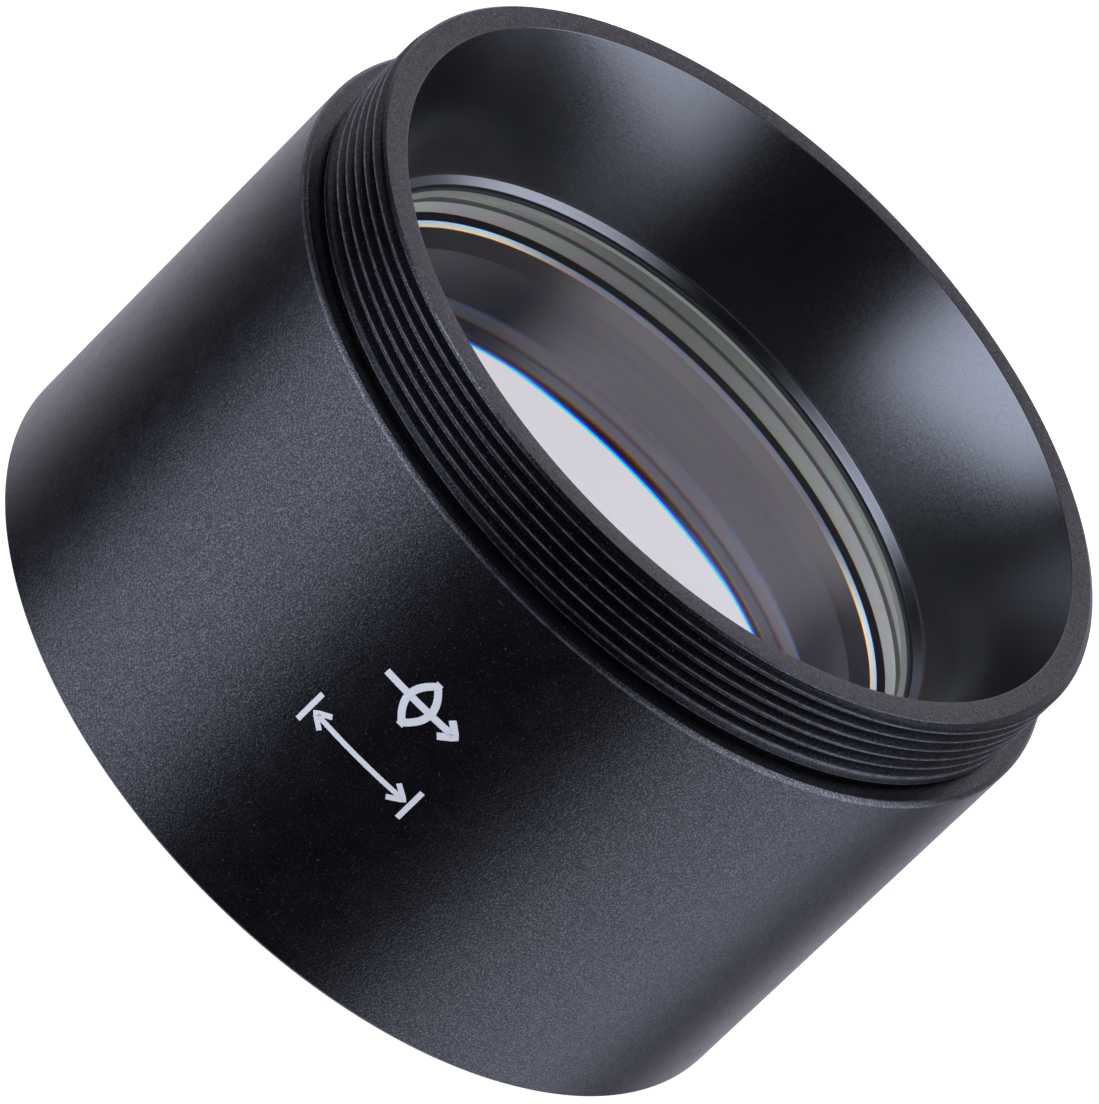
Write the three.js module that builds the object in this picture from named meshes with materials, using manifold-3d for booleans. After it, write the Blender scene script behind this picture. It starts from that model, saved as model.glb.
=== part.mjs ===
// Screw-in auxiliary objective (a 2x "Barlow" for a stereo microscope), built as its bench pieces.
// Millimetres, +Z up along the optical axis, origin at the centre of the casing's bottom face.
import * as THREE from "three";
import { mergeVertices } from "three/addons/utils/BufferGeometryUtils.js";
import Module from "manifold-3d";

const wasm = await Module();
wasm.setup();

// ---- driving dimensions ----
const SEGMENTS = 48; // facets round every turned piece
const ARC_STEPS = 4; // chords along each polished surface, centre to edge

const BARREL_R = 25.0;
const SHOULDER_Z = 25.85; // top face of the barrel, which seats against the microscope
const SEATING_R = 24.15; // inner edge of the stretch of that face that stays clear of the neck
const BARREL_CHAMFER = 0.25;

const THREAD_MAJOR_R = 24.0; // M48 x 0.75, right-hand
const THREAD_PITCH = 0.75;
const THREAD_DEPTH = 0.46;
const THREAD_TURNS = 5; // whole turns of groove, so that both its ends are at one angle
const THREAD_END_ANGLE = Math.PI / 2; // both ends are at the back
const GROOVE_TOP_Z = 30.475; // centre of the groove at its top end
const GROOVE_ROOT_HALF = 0.05; // half the flat at the bottom of the V
const GROOVE_HALF_ANGLE = Math.PI / 6;
const FADE_TURNS = 0.15; // the groove deepens and runs out over this share of a turn
const COLLAR_Z = 26.15; // lower edge of the plain collar under the thread
const COLLAR_CHAMFER = 0.15;
const UNDERCUT_R = 23.3;
const RIM_Z = 31.1; // overall height
const RIM_OUTER_R = 23.7;
const RIM_INNER_R = 22.3;

const LIP_R = 19.4; // clear opening at the foot of the conical bore
const LIP_TOP_Z = 21.8;
const SEAT_Z = 21.3; // underside of the lip, where the lens stack seats
const BORE_R = 20.3; // bore that holds the lens stack
const STACK_R = 20.1; // outside of every piece in the stack
const RING_BORE_R = 21.25; // minor radius of the retaining ring's thread
const RING_BORE_TOP_Z = 6.8;
const MOUTH_R = 22.3; // widest part of the flared mouth, at the bottom face
const MOUTH_FLARE_Z = 1.05;

const JOINT_GAP = 0.02; // air left between pieces that touch
const LENS_BEVEL = 0.3;
const GASKET_THICKNESS = 0.25;
const GASKET_BORE_R = 19.25;
const FLINT_EDGE = 2.3; // edge thicknesses of the three lenses
const CROWN_EDGE = 2.1;
const SINGLET_EDGE = 3.0;
const SPACER_LENGTH = 6.25;
const SPACER_BORE_R = 18.5;
const SPACER_BEVEL = 0.3;
const SPACER_RELIEF = 1.2; // cone at the top end that clears the crown's curved face
const CORD_R = 0.5; // half the o-ring's cord
const CORD_CENTRE_R = 19.4;
const CORD_FACETS = 8;
const WASHER_THICKNESS = 0.3;
const WASHER_R = 20.9;
const WASHER_BORE_R = 18.1;
const RING_THICKNESS = 2.0;
const RING_R = 21.0;
const RING_TOP_BORE_R = 17.9;
const RING_BOTTOM_BORE_R = 19.2;
const RING_LAND = 0.5; // straight part of the ring's bore above its cone
const SLOT_WIDTH = 1.6; // spanner slots across the retaining ring
const SLOT_DEPTH = 0.9;

// sphere radius and clear radius of each polished surface; all of these sag downwards
const TOP_SURFACE = { sphere: 52, clear: 18.9 };
const CEMENTED_SURFACE = { sphere: 60, clear: 19.8 };
const CROWN_SURFACE = { sphere: 44, clear: 19.7 };
const SINGLET_SURFACE = { sphere: 60, clear: 18.9 };

// ---- stack heights, worked down from the seat ----
const FLINT_TOP_Z = SEAT_Z - GASKET_THICKNESS;
const CEMENT_Z = FLINT_TOP_Z - FLINT_EDGE;
const CROWN_BOTTOM_Z = CEMENT_Z - CROWN_EDGE;
const SINGLET_TOP_Z = CROWN_BOTTOM_Z - SPACER_LENGTH;
const SINGLET_BOTTOM_Z = SINGLET_TOP_Z - SINGLET_EDGE;
const CORD_BOTTOM_Z = SINGLET_BOTTOM_Z - 2 * CORD_R;
const WASHER_BOTTOM_Z = CORD_BOTTOM_Z - WASHER_THICKNESS;
const RING_TOP_Z = WASHER_BOTTOM_Z - JOINT_GAP;
const RING_BOTTOM_Z = RING_TOP_Z - RING_THICKNESS;

// ---- materials ----
function finish(color, roughness, metalness) {
  return new THREE.MeshStandardMaterial({ color, roughness, metalness });
}

const blastedBlack = finish(0x1c1b1f, 0.55, 0.6);
const satinBlack = finish(0x141316, 0.4, 0.5);
const blackFilm = finish(0x0c0c0d, 0.8, 0.0);
const rubber = finish(0x101010, 0.9, 0.0);
const greyFilm = finish(0x4a494e, 0.6, 0);
const flintGlass = finish(0xb9c4c4, 0.05, 0.0);
const crownGlass = finish(0xc8d2d6, 0.05, 0.0);

// ---- shape helpers ----

// Turns a closed [radius, height] outline about +Z. The outline runs anticlockwise.
function turned(outline) {
  const points = [...outline, outline[0]].map(([r, z]) => new THREE.Vector2(r, z));
  return new THREE.LatheGeometry(points, SEGMENTS).rotateX(Math.PI / 2);
}

// Turns an outline that starts and ends on the axis.
function turnedSolid(outline) {
  const points = outline.map(([r, z]) => new THREE.Vector2(r, z));
  return new THREE.LatheGeometry(points, SEGMENTS).rotateX(Math.PI / 2);
}

function sag(sphere, r) {
  return sphere - Math.sqrt(sphere * sphere - r * r);
}

// Points of a downward-bulging spherical surface, from the axis out to its clear radius at edgeZ.
function surfacePoints({ sphere, clear }, edgeZ) {
  const points = [];
  for (let i = 0; i <= ARC_STEPS; i += 1) {
    const r = (clear * i) / ARC_STEPS;
    points.push([r, edgeZ - sag(sphere, clear) + sag(sphere, r)]);
  }
  return points;
}

// A lens of the stack's radius, from its bottom surface round the bevelled edge to its top surface.
function lensGeometry(bottomPoints, bottomZ, topPoints, topZ) {
  const edge = [
    [STACK_R - LENS_BEVEL, bottomZ],
    [STACK_R, bottomZ + LENS_BEVEL],
    [STACK_R, topZ - LENS_BEVEL],
    [STACK_R - LENS_BEVEL, topZ],
  ];
  const outline = [...bottomPoints, ...edge, ...topPoints.reverse()];
  return turnedSolid(withoutRepeats(outline));
}

function withoutRepeats(outline) {
  return outline.filter(([r, z], i) => {
    const before = outline[i - 1];
    return !before || Math.hypot(r - before[0], z - before[1]) > 1e-6;
  });
}

// ---- boolean helpers ----
function toSolid(geometry) {
  const bare = geometry.clone();
  bare.deleteAttribute("normal");
  bare.deleteAttribute("uv");
  const merged = mergeVertices(bare, 1e-4);
  const vertProperties = Float32Array.from(merged.attributes.position.array);
  const triVerts = Uint32Array.from(merged.index.array);
  return new wasm.Manifold(new wasm.Mesh({ numProp: 3, vertProperties, triVerts }));
}

function toGeometry(solid) {
  const mesh = solid.getMesh();
  const geometry = new THREE.BufferGeometry();
  geometry.setAttribute("position", new THREE.BufferAttribute(mesh.vertProperties, 3));
  geometry.setIndex(new THREE.BufferAttribute(mesh.triVerts, 1));
  geometry.computeVertexNormals();
  return geometry;
}

// ---- pieces ----

// Depth of the thread groove as a share of its full depth, by turns run from its top end.
// It fades in under the rim's chamfer and fades out above the collar.
function grooveShare(turnsRun) {
  return Math.min(1, turnsRun / FADE_TURNS, (THREAD_TURNS - turnsRun) / FADE_TURNS);
}

// The thread's part of the casing's outline at one column, from the collar up to the rim.
// Each 60-degree V gives four points, and each point carries the turn that it belongs to.
function threadPoints(columnTurn) {
  const points = [];
  for (let k = THREAD_TURNS - 1; k >= 0; k -= 1) {
    const turnsRun = k + 1 - columnTurn;
    const z = GROOVE_TOP_Z - turnsRun * THREAD_PITCH;
    const depth = THREAD_DEPTH * grooveShare(turnsRun);
    const mouthHalf = GROOVE_ROOT_HALF + depth * Math.tan(GROOVE_HALF_ANGLE);
    const corners = [
      [THREAD_MAJOR_R, z - mouthHalf],
      [THREAD_MAJOR_R - depth, z - GROOVE_ROOT_HALF],
      [THREAD_MAJOR_R - depth, z + GROOVE_ROOT_HALF],
      [THREAD_MAJOR_R, z + mouthHalf],
    ];
    corners.forEach(([r, height], corner) => {
      points.push({ turn: k, corner, key: k + "." + corner, r, z: height });
    });
  }
  return points;
}

// Fills the band between two columns of outline points. Points with the same key are opposite
// each other, and a point whose key the other column lacks fans to that column's last point.
function stitch(left, right, indices) {
  const rightKeys = new Set(right.map((point) => point.key));
  const leftKeys = new Set(left.map((point) => point.key));
  let i = 0;
  let j = 0;
  while (i < left.length || j < right.length) {
    const a = left[i % left.length];
    const b = right[j % right.length];
    const nextA = left[(i + 1) % left.length];
    const nextB = right[(j + 1) % right.length];
    const leftAlone = i < left.length && !rightKeys.has(nextA.key);
    const rightAlone = j < right.length && !leftKeys.has(nextB.key);
    if (!rightAlone) indices.push(a.id, b.id, nextA.id);
    if (rightAlone) indices.push(a.id, b.id, nextB.id);
    else if (!leftAlone) indices.push(b.id, nextB.id, nextA.id);
    if (!rightAlone) i += 1;
    if (rightAlone || !leftAlone) j += 1;
  }
}

// A point of the outline that is at one radius and height all the way round.
function plainPoint([r, z]) {
  return { turn: null, key: r + "," + z, r, z };
}

// Turns an outline whose middle is a helical thread. Each column is the outline at one angle.
function threadedTurning(belowThread, aboveThread) {
  const positions = [];
  const indices = [];
  const columns = [];
  for (let c = 0; c < SEGMENTS; c += 1) {
    const angle = THREAD_END_ANGLE + (c / SEGMENTS) * 2 * Math.PI;
    const thread = threadPoints(c / SEGMENTS);
    const outline = [...belowThread.map(plainPoint), ...thread, ...aboveThread.map(plainPoint)];
    for (const point of outline) {
      point.id = positions.length / 3;
      positions.push(point.r * Math.cos(angle), point.r * Math.sin(angle), point.z);
    }
    columns.push(outline);
  }
  for (let c = 0; c < SEGMENTS - 1; c += 1) stitch(columns[c], columns[c + 1], indices);
  stitch(columns[SEGMENTS - 1], nextTurn(columns[0]), indices);
  const geometry = new THREE.BufferGeometry();
  geometry.setAttribute("position", new THREE.Float32BufferAttribute(positions, 3));
  geometry.setIndex(indices);
  geometry.computeVertexNormals();
  return geometry;
}

// The same column, met again one turn further up the helix.
function nextTurn(column) {
  return column.map((point) => {
    if (point.turn === null) return point;
    return { ...point, key: point.turn + 1 + "." + point.corner };
  });
}

// Barrel, threaded neck, conical bore and lens seat, turned from one bar.
function casing() {
  const belowThread = [
    [RING_BORE_R, RING_BORE_TOP_Z],
    [RING_BORE_R, MOUTH_FLARE_Z],
    [MOUTH_R, 0],
    [BARREL_R - BARREL_CHAMFER, 0],
    [BARREL_R, BARREL_CHAMFER],
    [BARREL_R, SHOULDER_Z - BARREL_CHAMFER],
    [BARREL_R - BARREL_CHAMFER, SHOULDER_Z],
    [SEATING_R, SHOULDER_Z],
    [UNDERCUT_R, SHOULDER_Z],
    [UNDERCUT_R, COLLAR_Z],
    [THREAD_MAJOR_R - COLLAR_CHAMFER, COLLAR_Z],
    [THREAD_MAJOR_R, COLLAR_Z + COLLAR_CHAMFER],
  ];
  const aboveThread = [
    [THREAD_MAJOR_R, RIM_Z - (THREAD_MAJOR_R - RIM_OUTER_R)],
    [RIM_OUTER_R, RIM_Z],
    [RIM_INNER_R, RIM_Z],
    [LIP_R, LIP_TOP_Z],
    [LIP_R, SEAT_Z],
    [BORE_R, SEAT_Z],
    [BORE_R, RING_BORE_TOP_Z],
  ];
  return threadedTurning(belowThread, aboveThread);
}

// Thin film washer between the seat and the upper lens.
function seatGasket() {
  return turned([
    [GASKET_BORE_R, FLINT_TOP_Z + JOINT_GAP],
    [STACK_R, FLINT_TOP_Z + JOINT_GAP],
    [STACK_R, SEAT_Z - JOINT_GAP],
    [GASKET_BORE_R, SEAT_Z - JOINT_GAP],
  ]);
}

// Hollow-topped meniscus with a flat ground margin under the gasket.
function upperFlintLens() {
  const bottomZ = CEMENT_Z + JOINT_GAP / 2;
  const bottom = surfacePoints(CEMENTED_SURFACE, bottomZ);
  return lensGeometry(bottom, bottomZ, surfacePoints(TOP_SURFACE, FLINT_TOP_Z), FLINT_TOP_Z);
}

// Meniscus cemented under the flint.
function upperCrownLens() {
  const topZ = CEMENT_Z - JOINT_GAP / 2;
  const bottom = surfacePoints(CROWN_SURFACE, CROWN_BOTTOM_Z);
  return lensGeometry(bottom, CROWN_BOTTOM_Z, surfacePoints(CEMENTED_SURFACE, topZ), topZ);
}

// Tube that sets the air space between the two groups.
function spacerTube() {
  const bottomZ = SINGLET_TOP_Z + JOINT_GAP;
  const topZ = CROWN_BOTTOM_Z - JOINT_GAP;
  return turned([
    [SPACER_BORE_R, bottomZ + SPACER_BEVEL],
    [SPACER_BORE_R + SPACER_BEVEL, bottomZ],
    [STACK_R, bottomZ],
    [STACK_R, topZ],
    [CROWN_SURFACE.clear, topZ],
    [SPACER_BORE_R, topZ - SPACER_RELIEF],
  ]);
}

// Plano-convex lens, curved side down.
function lowerLens() {
  const bottom = surfacePoints(SINGLET_SURFACE, SINGLET_BOTTOM_Z);
  return lensGeometry(bottom, SINGLET_BOTTOM_Z, [[0, SINGLET_TOP_Z]], SINGLET_TOP_Z);
}

// Round rubber cord that keeps the stack under light pressure.
function oRing() {
  const centreZ = CORD_BOTTOM_Z + CORD_R;
  const radius = CORD_R - JOINT_GAP;
  const outline = [];
  for (let i = 0; i < CORD_FACETS; i += 1) {
    const angle = (i / CORD_FACETS) * 2 * Math.PI;
    outline.push([CORD_CENTRE_R + radius * Math.cos(angle), centreZ + radius * Math.sin(angle)]);
  }
  return turned(outline);
}

// Flat washer that slides down with the retaining ring but doesn't turn with it.
function slipWasher() {
  const topZ = CORD_BOTTOM_Z - JOINT_GAP;
  return turned([
    [WASHER_BORE_R, WASHER_BOTTOM_Z],
    [WASHER_R, WASHER_BOTTOM_Z],
    [WASHER_R, topZ],
    [WASHER_BORE_R, topZ],
  ]);
}

// Threaded ring that holds the stack, with two slots across its lower face for a pin spanner.
function retainingRing() {
  const ring = turned([
    [RING_BOTTOM_BORE_R, RING_BOTTOM_Z],
    [RING_R, RING_BOTTOM_Z],
    [RING_R, RING_TOP_Z],
    [RING_TOP_BORE_R, RING_TOP_Z],
    [RING_TOP_BORE_R, RING_TOP_Z - RING_LAND],
  ]);
  const slots = new THREE.BoxGeometry(2 * BARREL_R, SLOT_WIDTH, 2 * SLOT_DEPTH);
  slots.translate(0, 0, RING_BOTTOM_Z);
  return toGeometry(toSolid(ring).subtract(toSolid(slots)));
}

// ---- assembly ----
function addPiece(group, name, geometry, material) {
  const mesh = new THREE.Mesh(geometry, material);
  mesh.name = name;
  group.add(mesh);
}

const objective = new THREE.Group();
addPiece(objective, "casing", casing(), blastedBlack);
addPiece(objective, "seat_gasket", seatGasket(), blackFilm);
addPiece(objective, "upper_flint_lens", upperFlintLens(), flintGlass);
addPiece(objective, "upper_crown_lens", upperCrownLens(), crownGlass);
addPiece(objective, "spacer_tube", spacerTube(), satinBlack);
addPiece(objective, "lower_lens", lowerLens(), crownGlass);
addPiece(objective, "o_ring", oRing(), rubber);

// The washer and the ring leave the casing together: the washer slides, the ring turns on it.
const ringCarrier = new THREE.Group();
addPiece(ringCarrier, "slip_washer", slipWasher(), greyFilm);
addPiece(ringCarrier, "retaining_ring", retainingRing(), satinBlack);
objective.add(ringCarrier);

export default objective;
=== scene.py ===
"""Screw-in auxiliary objective for a stereo microscope.

Smooth turned pieces, refracting glass and a soft studio, built round the fixed CAD frame. Lengths are in
millimetres until a mesh is made. The barrel's front, which the camera faces, is towards -Y.
"""

import math

import bpy
from mathutils import Matrix, Quaternion, Vector


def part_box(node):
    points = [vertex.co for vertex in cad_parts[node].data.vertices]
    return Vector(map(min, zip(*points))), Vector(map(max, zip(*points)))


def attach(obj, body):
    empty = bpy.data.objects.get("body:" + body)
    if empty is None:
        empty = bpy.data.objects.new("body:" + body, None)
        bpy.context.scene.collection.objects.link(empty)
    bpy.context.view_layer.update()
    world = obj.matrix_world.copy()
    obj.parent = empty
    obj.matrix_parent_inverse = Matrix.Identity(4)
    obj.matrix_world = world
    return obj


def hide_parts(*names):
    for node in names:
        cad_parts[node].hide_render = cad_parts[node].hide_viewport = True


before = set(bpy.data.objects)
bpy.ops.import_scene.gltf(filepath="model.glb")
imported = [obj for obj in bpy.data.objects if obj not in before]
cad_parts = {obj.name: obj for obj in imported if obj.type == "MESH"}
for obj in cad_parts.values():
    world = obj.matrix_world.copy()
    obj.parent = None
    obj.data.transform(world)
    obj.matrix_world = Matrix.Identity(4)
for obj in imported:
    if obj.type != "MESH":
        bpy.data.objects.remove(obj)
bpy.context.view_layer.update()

MM = 0.001
TURN = 2 * math.pi
FRONT = -math.pi / 2  # angle of the barrel's front about +Z

# ---- sizes that the frame gives ----


def outer_radius(node):
    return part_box(node)[1].x / MM


def low_z(node):
    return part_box(node)[0].z / MM


def high_z(node):
    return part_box(node)[1].z / MM


JOINT_GAP = 0.02  # air between pieces that touch
BARREL_R = outer_radius("casing")
RIM_Z = high_z("casing")
STACK_R = outer_radius("spacer_tube")
SEAT_Z = high_z("seat_gasket") + JOINT_GAP
FLINT_TOP_Z = high_z("upper_flint_lens")
CEMENT_Z = high_z("upper_crown_lens") + JOINT_GAP / 2
CROWN_BOTTOM_Z = high_z("spacer_tube") + JOINT_GAP
SINGLET_TOP_Z = high_z("lower_lens")
SINGLET_BOTTOM_Z = high_z("o_ring") + JOINT_GAP
RING_BOTTOM_Z = low_z("retaining_ring")
RING_TOP_Z = high_z("retaining_ring")
RING_R = outer_radius("retaining_ring")

# ---- the casing's other sizes ----
SHOULDER_Z = 25.85
BARREL_CHAMFER = 0.25
THREAD_R = 24.0
THREAD_PITCH = 0.75
THREAD_DEPTH = 0.46
THREAD_HALF_ANGLE = math.radians(30)
GROOVE_ROOT_HALF = 0.08
GROOVE_FRONT_Z = 30.1  # a groove's centre where the helix passes the front
GROOVE_END_Z = 26.73  # height at which the groove has run out
GROOVE_FADE = 0.11  # rise over which it reaches full depth
ROWS_PER_PITCH = 20
COLLAR_Z = 26.15
COLLAR_CHAMFER = 0.15
THREAD_LOW_Z = COLLAR_Z + COLLAR_CHAMFER
UNDERCUT_R = 23.3
RIM_CHAMFER = 0.3
RIM_INNER_R = 22.3
LIP_R = 19.4
LIP_TOP_Z = 21.8
LIP_CHAMFER = 0.38
BORE_R = 20.3
RING_BORE_R = 21.25
RING_BORE_TOP_Z = 6.8
MOUTH_R = 22.3
MOUTH_FLARE_Z = 1.05

# ---- the optics ----
LENS_BEVEL = 0.3
CEMENTED_BEVEL = 0.04
GASKET_BORE_R = 19.25
TOP_SURFACE = (52.0, 18.9)  # sphere radius and clear radius; each surface sags downwards
CEMENTED_SURFACE = (60.0, 19.8)
CROWN_SURFACE = (44.0, 19.7)
SINGLET_SURFACE = (60.0, 18.9)
ARC_STEPS = 32
GLASS_IOR = 1.6

# ---- the small parts ----
SPACER_BORE_R = 18.5
SPACER_BEVEL = 0.3
SPACER_RELIEF = 1.2
BRIGHT_WIDTH = 0.28  # width of the cone's fresh-cut edge
CORD_CENTRE_R = 19.4
CORD_POINTS = 24
WASHER_BORE_R = 18.1
RING_TOP_BORE_R = 17.9
RING_BOTTOM_BORE_R = 19.2
RING_LAND = 0.5
SLOT_WIDTH = 1.6
SLOT_DEPTH = 0.9

# ---- fillets ----
SOFT_EDGE = 0.12
TURNED_EDGE = 0.1
THIN_EDGE = 0.08
FINE_EDGE = 0.06
SEAT_EDGE = 0.05
COLLAR_EDGE = 0.04
FILM_EDGE = 0.03

COLUMNS = 288  # facets round a turned piece
FILLET_STEPS = 4


# ---- mesh helpers ----


def rounded(corners, closed=True):
    """Rounds the corners of an outline. A corner is (r, z, zone) or (r, z, zone, fillet radius), and the
    result is a list of (r, z, zone), where a point's zone is the material of the face after it."""
    points = []
    last = len(corners) - 1
    for i, (r, z, zone, *fillet) in enumerate(corners):
        at_end = not closed and i in (0, last)
        if not fillet or at_end:
            points.append((r, z, zone))
            continue
        here = Vector((r, z))
        back = (Vector(corners[i - 1][:2]) - here).normalized()
        onward = (Vector(corners[(i + 1) % len(corners)][:2]) - here).normalized()
        half_angle = back.angle(onward) / 2
        reach = fillet[0] / math.tan(half_angle)
        centre = here + (back + onward).normalized() * fillet[0] / math.sin(half_angle)
        start = here + back * reach - centre
        sweep = math.pi - 2 * half_angle
        if back.x * onward.y - back.y * onward.x > 0:
            sweep = -sweep
        for step in range(FILLET_STEPS + 1):
            arm = Matrix.Rotation(sweep * step / FILLET_STEPS, 2) @ start
            points.append((*(centre + arm), zone))
    return points


def new_piece(name, vertices, faces, zones, materials, sharp_degrees=32):
    mesh = bpy.data.meshes.new(name)
    mesh.from_pydata([tuple(c * MM for c in vertex) for vertex in vertices], [], faces)
    for material in materials:
        mesh.materials.append(material)
    mesh.polygons.foreach_set("material_index", zones)
    mesh.shade_smooth()
    mesh.set_sharp_from_angle(angle=math.radians(sharp_degrees))
    piece = bpy.data.objects.new(name, mesh)
    bpy.context.scene.collection.objects.link(piece)
    return piece


def distinct(indices):
    """The indices of a face without repeats."""
    return tuple(dict.fromkeys(indices))


def turned(name, outline, materials, closed=True, sharp_degrees=32):
    """Turns (r, z, zone) points about +Z. An outline that isn't closed starts and ends on the axis."""
    vertices, rings = [], []
    for r, z, _ in outline:
        first = len(vertices)
        if r < 1e-6:
            vertices.append((0, 0, z))
            rings.append([first] * COLUMNS)
            continue
        for c in range(COLUMNS):
            angle = TURN * c / COLUMNS
            vertices.append((r * math.cos(angle), r * math.sin(angle), z))
        rings.append(range(first, first + COLUMNS))
    faces, zones = [], []
    for i in range(len(outline) if closed else len(outline) - 1):
        low, high = rings[i], rings[(i + 1) % len(outline)]
        for c in range(COLUMNS):
            d = (c + 1) % COLUMNS
            faces.append(distinct((low[c], low[d], high[d], high[c])))
            zones.append(outline[i][2])
    return new_piece(name, vertices, faces, zones, materials, sharp_degrees)


# ---- node helpers ----


def node(tree, kind, inputs=None, **settings):
    made = tree.nodes.new(kind)
    for key, value in settings.items():
        setattr(made, key, value)
    for key, value in (inputs or {}).items():
        if isinstance(value, bpy.types.NodeSocket):
            tree.links.new(value, made.inputs[key])
        else:
            made.inputs[key].default_value = value
    return made


def calculate(tree, operation, *values):
    made = node(tree, "ShaderNodeMath", dict(enumerate(values)), operation=operation)
    return made.outputs[0]


def product(tree, first, *others):
    for value in others:
        first = calculate(tree, "MULTIPLY", first, value)
    return first


def vector_math(tree, operation, *values):
    """A vector, or the number that a dot product gives."""
    made = node(tree, "ShaderNodeVectorMath", dict(enumerate(values)), operation=operation)
    return made.outputs["Value" if operation == "DOT_PRODUCT" else "Vector"]


def scaled(tree, vector, factor):
    return node(tree, "ShaderNodeVectorMath", {0: vector, "Scale": factor}, operation="SCALE").outputs[0]


def level_direction(tree, vector):
    """The horizontal direction of a vector."""
    return vector_math(tree, "NORMALIZE", vector_math(tree, "MULTIPLY", vector, (1, 1, 0)))


def remap(tree, value, low, high, out_low=0.0, out_high=1.0, smooth=False):
    settings = {"From Min": low, "From Max": high, "To Min": out_low, "To Max": out_high, "Value": value}
    kind = "SMOOTHSTEP" if smooth else "LINEAR"
    return node(tree, "ShaderNodeMapRange", settings, interpolation_type=kind).outputs[0]


def beyond(tree, value, limit, fade):
    """0 up to the limit, then rising to 1."""
    return remap(tree, value, limit, limit + fade)


def short_of(tree, value, limit, fade):
    """1 up to the limit, then falling to 0."""
    return remap(tree, value, limit, limit + fade, 1.0, 0.0)


def blend_colors(tree, factor, a, b):
    mix = node(tree, "ShaderNodeMix", data_type="RGBA")
    for socket, value in ((mix.inputs[0], factor), (mix.inputs[6], a), (mix.inputs[7], b)):
        if isinstance(value, bpy.types.NodeSocket):
            tree.links.new(value, socket)
        else:
            socket.default_value = value
    return mix.outputs[2]


def rgb(r, g, b):
    return (r, g, b, 1.0)


def grey(value):
    return (value, value, value, 1.0)


def new_material(name):
    material = bpy.data.materials.new(name)
    material.use_nodes = True
    material.node_tree.nodes.clear()
    return material, material.node_tree


def object_coordinates(tree):
    return node(tree, "ShaderNodeTexCoord").outputs["Object"]


def noise(tree, size_mm, detail=2.0, roughness=0.5, coordinates=None):
    """Noise whose features are about size_mm across."""
    settings = {"Scale": 1 / (size_mm * MM), "Detail": detail, "Roughness": roughness}
    settings["Vector"] = coordinates or object_coordinates(tree)
    return node(tree, "ShaderNodeTexNoise", settings).outputs["Fac"]


def bumped(tree, height, depth_mm, strength=1.0, normal=None):
    settings = {"Height": height, "Distance": depth_mm * MM, "Strength": strength}
    if normal:
        settings["Normal"] = normal
    return node(tree, "ShaderNodeBump", settings).outputs[0]


def cylinder_coordinates(tree):
    """Distance from the axis and height, in millimetres."""
    in_mm = scaled(tree, object_coordinates(tree), 1 / MM)
    split = node(tree, "ShaderNodeSeparateXYZ", {"Vector": in_mm})
    squares = [product(tree, split.outputs[a], split.outputs[a]) for a in "XY"]
    return calculate(tree, "SQRT", calculate(tree, "ADD", *squares)), split.outputs["Z"]


def turning_marks(tree, pitch_mm):
    """Rings left by a lathe tool, a little uneven."""
    place = node(tree, "ShaderNodeSeparateXYZ", {"Vector": object_coordinates(tree)}).outputs["Z"]
    wave = calculate(tree, "SINE", product(tree, place, TURN / (pitch_mm * MM)))
    line = node(tree, "ShaderNodeCombineXYZ", {"X": place}).outputs[0]
    return calculate(tree, "ADD", product(tree, wave, 0.3), noise(tree, 0.12, coordinates=line))


def mixed_shader(tree, share, first, second):
    return node(tree, "ShaderNodeMixShader", {0: share, 1: first, 2: second}).outputs[0]


def principled(material, tree, settings):
    surface = node(tree, "ShaderNodeBsdfPrincipled", settings)
    node(tree, "ShaderNodeOutputMaterial", {"Surface": surface.outputs[0]})
    return material


# ---- materials ----
HIGHLIGHT_REACH = 0.08  # how far inside a crest or below the collar the painted highlight starts
EDGE_FADE = 0.05  # distance over which most masks fade out, the painted highlights among them
SHOULDER_HIGHLIGHT = 0.6
GROOVE_SHADE_SHINE = 0.4  # share of shine left on the thread's flanks, as painted shade in the grooves
PALE_SIDE = math.radians(83)  # direction about +Z in which the inner walls look palest
GLOW_STARTS, GLOW_FULL = 0.70, 0.92  # cosines of the angle from that direction
FLOOR_GLOW = 0.12
INNER_LIGHT = rgb(1.0, 0.95, 1.06)
BACK_SHADE_MAX = 0.8  # how far painted shade darkens the cut at the back
FRINGE_GLOW = 0.5
GLASS_TINT = rgb(0.935, 0.928, 0.945)
COAT_COLOR = rgb(0.72, 0.64, 1.0)
COATING_SHARE = 0.07  # share of the plain glass's reflection that the coating leaves


def crest_highlights(tree, radius, height):
    outermost = beyond(tree, radius, THREAD_R - HIGHLIGHT_REACH, fade=0.07)
    return product(tree, outermost, beyond(tree, height, GROOVE_END_Z - 0.1, fade=0.2))


def collar_edge_highlight(tree, radius, height):
    above = beyond(tree, height, COLLAR_Z - HIGHLIGHT_REACH, fade=0.04)
    below = short_of(tree, height, THREAD_LOW_Z, EDGE_FADE)
    outside = beyond(tree, radius, THREAD_R - COLLAR_CHAMFER - EDGE_FADE, EDGE_FADE)
    inside = short_of(tree, radius, THREAD_R + EDGE_FADE, EDGE_FADE)
    return product(tree, above, below, outside, inside)


def shoulder_edge_highlight(tree, radius, height):
    above = beyond(tree, height, SHOULDER_Z - BARREL_CHAMFER - 0.03, fade=0.06)
    outside = beyond(tree, radius, BARREL_R - 0.5 * BARREL_CHAMFER, fade=0.2 * BARREL_CHAMFER)
    return product(tree, above, outside, SHOULDER_HIGHLIGHT)


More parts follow.
